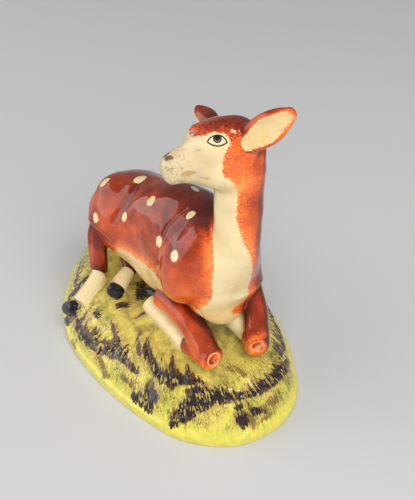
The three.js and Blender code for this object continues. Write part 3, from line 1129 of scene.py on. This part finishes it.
def red_glaze(finish, place):
    """Iron red sponged on the fawn: orange where thin, browner on the upper side, darker in recesses (pooled
    glaze and painted shade) and darker as painted shade on faces turned to the fawn's left; a painted
    highlight rings each knee.
    """
    stipple = finish.noise(place, 0.75, 3, 0.6)
    clouds = finish.noise(place, 9, 2)
    thin_edge = finish.attribute("fringe").step(6, 0.3)
    on_ear = finish.attribute("ears").step(1.2, 0)
    on_far_ear = on_ear * finish.along(place, FAWN_FORWARD).step(31, 27)
    on_crown = finish.along(place, UP).step(122, 125.5) * (1 - on_ear)
    on_knee = finish.attribute("knees").step(-1.4, -2.4)
    on_forearm = finish.attribute("right_forearm").step(1.2, 0)
    on_shank = finish.attribute("shanks").step(1.2, 0)
    # Browner on upward faces; darker in recesses, partly pooled glaze and partly painted shade; painted shade
    # on faces turned to the fawn's left; lighter on ridges where the glaze runs thin
    form_and_shade = (0.5 + 0.32 * finish.facing(UP) + 0.3 * finish.facing(FAWN_LEFT).step(0.1, 0.55)
               + 0.25 * finish.attribute("recess") - 0.25 * finish.attribute("ridge"))
    by_part = 0.15 * on_ear + 0.45 * on_far_ear + 0.2 * on_crown + 0.22 * on_shank
    by_part = by_part - 0.3 * on_knee - 0.14 * on_forearm
    by_hand = 0.6 * (clouds - 0.5) - 0.42 * thin_edge + (0.2 + 0.9 * thin_edge) * (stipple - 0.5)
    red = finish.ramp(form_and_shade + by_part + by_hand, RED_THIN_TO_THICK_AND_SHADED)
    # Painted highlight: a pale orange line round the rim of each knee's hollow
    rim = abs(finish.attribute("knee_rings")).step(0.45, 0.15)
    return finish.blend(0.65 * rim, red, PAINTED_KNEE_HIGHLIGHT)


def cream_slip(finish, place):
    """Cream slip under clear glaze, warmer and greyer in patches, with worn specks on the muzzle; the warmer
    tint on the lower chest and in recesses is painted shade.
    """
    height = finish.along(place, UP)
    # Painted shade: the cream turns warmer on the lower chest between the forelegs and in recesses; random
    # patches and the ear insides are warmer too
    lower_chest_shade = height.step(50, 43) * height.step(34, 38)
    warm_and_shade = (0.3 * finish.noise(place, 11, 3).step(0.42, 0.68) + 0.7 * lower_chest_shade
            + 0.4 * finish.attribute("recess").step(0.9, 2.6)
            + 0.4 * finish.attribute("ear_insides").step(2, 0))
    muzzle = finish.attribute("muzzle")
    grey = 0.4 * finish.noise(place, 5, 4).step(0.52, 0.75) + 0.7 * muzzle.step(-2, 17)
    specks = finish.noise(place, 0.75, 3, 0.6).step(0.54, 0.66) * muzzle.step(11.5, 16)
    tinted = finish.blend(warm_and_shade.least(1), CREAM, WARM_AND_SHADED_CREAM)
    tinted = finish.blend(grey.least(1), tinted, GREY_CREAM)
    return finish.blend(0.6 * specks, tinted, MUZZLE_SPECKS)


def grass_glaze(finish, place):
    """Yellow and green glaze brushed down the mound, dark brushwork over it and brown in the combing."""
    out, relief = finish.attribute("out"), finish.attribute("relief")
    streaks = finish.noise(finish.combing(), 1.5, 3, 0.6)
    fine_streaks = finish.noise(finish.combing(), 0.7, 2, 0.6)
    clouds = finish.noise(place, 12, 3)
    small_clouds = finish.noise(place, 4, 3, 0.6)
    flecks = (fine_streaks + 0.8 * (small_clouds - 0.5)).step(0.57, 0.66)
    ragged = 3 * (streaks - 0.5) + 2 * (fine_streaks - 0.5) + 3 * (small_clouds - 0.5)
    off_lip = out.step(LIP_END, LIP_START)

    side = clouds + 0.5 * (small_clouds - 0.5) + 0.3 * (streaks - 0.5) + 0.1 * relief
    top = finish.ramp(small_clouds + 0.4 * (fine_streaks - 0.5), TOP_OLIVE_TO_YELLOW)
    on_top = (out + 0.5 * (clouds - 0.5)).step(0.78, 0.55)
    grass = finish.blend(0.85 * on_top, finish.ramp(side, GRASS_GREEN_TO_TAN), top)
    # The lip: its yellow-green, brightened as painted light
    on_lip = (out + 0.08 * (streaks - 0.5)).step(LIP_START, LIP_END)
    grass = finish.blend(on_lip, grass, finish.blend(small_clouds.step(0.4, 0.6), LIT_LIP_GREEN, LIT_LIP_YELLOW))

    scratches = (abs(fine_streaks - 0.5).step(0.05, 0.015) * finish.noise(place, 8, 2).step(0.38, 0.5)
                 * out.step(0.6, 0.72) * out.step(LIP_END, 0.94))
    grass = finish.blend(0.9 * scratches, grass, SCRATCH_BROWN)
    washed = (finish.attribute("washes") + 2 * ragged).step(0.8, -0.8)
    grass = finish.blend(0.8 * washed * (1 - flecks), grass, WASH_BROWN)
    brushed = finish.attribute("brushwork") + ragged - 0.5 * relief
    stroke_edge = brushed.step(2.4, 0.4) * small_clouds.step(0.46, 0.6) * off_lip
    grass = finish.blend(0.55 * stroke_edge, grass, STROKE_EDGE_TAN)
    thick = 0.5 - 0.24 * brushed + 2.2 * (small_clouds - 0.5) + 0.9 * (streaks - 0.5)
    covered = brushed.step(0.25, -0.25) * (1 - 0.85 * flecks)
    return finish.blend(covered, grass, finish.ramp(thick, BRUSHWORK_TAN_TO_BLACK))


def painted_eye(finish, place, below):
    """The almond eye, drawn flat on the side of the face: outline, white, iris and pupil."""
    offset = finish.node("ShaderNodeVectorMath", {"operation": "SUBTRACT"}, {0: place, 1: tuple(HEAD_MIDDLE)})
    forward = finish.along(offset, HEAD_FORWARD) - EYE[0]
    left = abs(finish.along(offset, HEAD_LEFT)) - EYE[1]
    up = finish.along(offset, UP) - EYE[2]
    back = EYE_BACK[0] * forward + EYE_BACK[1] * left
    above = EYE_ABOVE[0] * forward + EYE_ABOVE[1] * left + EYE_ABOVE[2] * up

    def circle(middle_back, middle_above, radius):
        """Distance to a circle's line, negative inside."""
        across, over = back - middle_back, above - middle_above
        return finish.maths("SQRT", across * across + over * over) - radius

    lids = circle(0, -1.4, 3.32).most(circle(0, 3.26, 4.8))
    iris = circle(0, 0.8, 1.25)
    pupil = circle(0, 1.05, 0.95)
    near = abs(left).step(2.2, 1.7)
    inside = lids.step(0.1, -0.1) * near
    white = finish.blend(inside, below, EYE_WHITE)
    tan = finish.blend(iris.step(0.1, -0.1) * inside, white, EYE_TAN)
    ring = finish.blend(abs(iris).step(0.28, 0.12) * inside, tan, IRIS_LINE)
    dark = finish.blend(pupil.step(0.1, -0.1) * inside, ring, BLACK)
    return finish.blend(abs(lids).step(0.32, 0.16) * near, dark, LID_LINE)


def painted_fawn(finish, place, waver):
    """Red and cream, then what is painted on them: nostrils, mouth, eyes and hooves."""
    crisp_edge = finish.attribute("socks").least(finish.attribute("ear_insides"))
    crisp_edge = crisp_edge.least(finish.attribute("spots"))
    soft_share = (finish.attribute("soft_cream") + 2.6 * waver).step(0.45, -0.45)
    crisp_share = (crisp_edge + waver).step(0.22, -0.22)
    nostrils = (finish.attribute("nostrils") + waver).step(0.5, -0.4)
    mouth = (finish.attribute("mouth") + waver).step(0.5, -0.3)
    hooves = (finish.attribute("hooves") + 0.6 * waver).step(0.2, -0.2)
    fawn = finish.blend(soft_share.most(crisp_share), red_glaze(finish, place), cream_slip(finish, place))
    fawn = finish.blend(0.9 * nostrils, fawn, NOSTRIL_BROWN)
    fawn = finish.blend(0.8 * mouth, fawn, MOUTH_TAN)
    fawn = painted_eye(finish, place, fawn)
    return finish.blend(hooves, fawn, BLACK)


def glazed_earthenware():
    """One clear lead glaze over all the painting, and bare clay underneath."""
    finish = Finish("painted glazed earthenware")
    place = finish.place()
    waver = finish.noise(place, 1.1, 3, 0.6) - 0.5
    grass_share = (finish.attribute("grass") + 0.5 * waver).step(-0.2, 0.2)
    painted = finish.blend(grass_share, painted_fawn(finish, place, waver), grass_glaze(finish, place))
    underside = finish.facing(UP).step(-0.55, -0.75) * finish.along(place, UP).step(1.2, 0.6)
    grass_ripples = 1.1 * finish.noise(finish.combing(), 1.1, 3) + 0.7 * finish.noise(place, 2, 3)
    ripples = finish.noise(place, 5, 2) + 0.12 * finish.noise(place, 0.8, 2) + grass_share * grass_ripples
    finish.surface({
        "Base Color": finish.blend(underside, painted, BARE_CLAY),
        "Roughness": 0.32 + 0.5 * underside,
        "Specular IOR Level": 0.0,
        "Coat Weight": 1 - underside,
        "Coat Roughness": 0.05,
        "Normal": finish.bump(ripples, distance=0.35 * MM, strength=0.6),
    })
    return finish.material


def place_camera():
    """The photograph's view, from in front of the fawn's right knee and well above it."""
    target = Vector((21.55, 3.32, 60)) * MM
    azimuth, elevation = math.radians(-33.78), math.radians(39)
    distance = 320 * MM
    back = Vector((math.cos(azimuth) * math.cos(elevation), math.sin(azimuth) * math.cos(elevation),
                   math.sin(elevation)))
    camera = new_object("camera", bpy.data.cameras.new("camera"))
    camera.location = target + distance * back
    camera.rotation_euler = (-back).to_track_quat("-Z", "Y").to_euler()
    focal_pixels, frame_height = 827.2, 500
    camera.data.lens = focal_pixels / frame_height * camera.data.sensor_width
    camera.data.clip_start = 0.01
    bpy.context.scene.camera = camera


def lay_floor():
    half = 3.0
    mesh = bpy.data.meshes.new("floor")
    corners = [(-half, -half, 0), (half, -half, 0), (half, half, 0), (-half, half, 0)]
    mesh.from_pydata(corners, [], [(0, 1, 2, 3)])
    finish = Finish("pale floor")
    finish.surface({"Base Color": (0.6, 0.6, 0.6, 1), "Roughness": 0.6})
    mesh.materials.append(finish.material)
    new_object("floor", mesh)


def add_light(name, place, size, watts, reflected=True):
    light = bpy.data.lights.new(name, "AREA")
    light.energy = watts
    light.shape = "RECTANGLE"
    light.size, light.size_y = size
    lamp = new_object(name, light)
    lamp.location = place
    lamp.visible_glossy = reflected
    aim = Vector((0, 0, 0.06))
    lamp.rotation_euler = (aim - Vector(place)).to_track_quat("-Z", "Y").to_euler()


def light_studio():
    """A window on the left, soft light from the front, and a small lamp for the glints."""
    add_light("left window", (-0.5, -0.68, 0.36), (1.1, 0.8), 4.8)
    add_light("front softbox", (0.72, -0.2, 0.68), (1.0, 1.0), 10, reflected=False)
    add_light("small lamp", (0.5, 0.1, 0.9), (0.1, 0.1), 0.8)
    world = bpy.data.worlds.new("studio")
    world.use_nodes = True
    background = world.node_tree.nodes["Background"]
    background.inputs["Color"].default_value = (0.8, 0.8, 0.8, 1)
    background.inputs["Strength"].default_value = 0.42
    bpy.context.scene.world = world
    bpy.context.scene.view_settings.view_transform = "Standard"


place_camera()
piece = build_fawn()
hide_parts(NODE)
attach(piece, "root")
lay_floor()
light_studio()
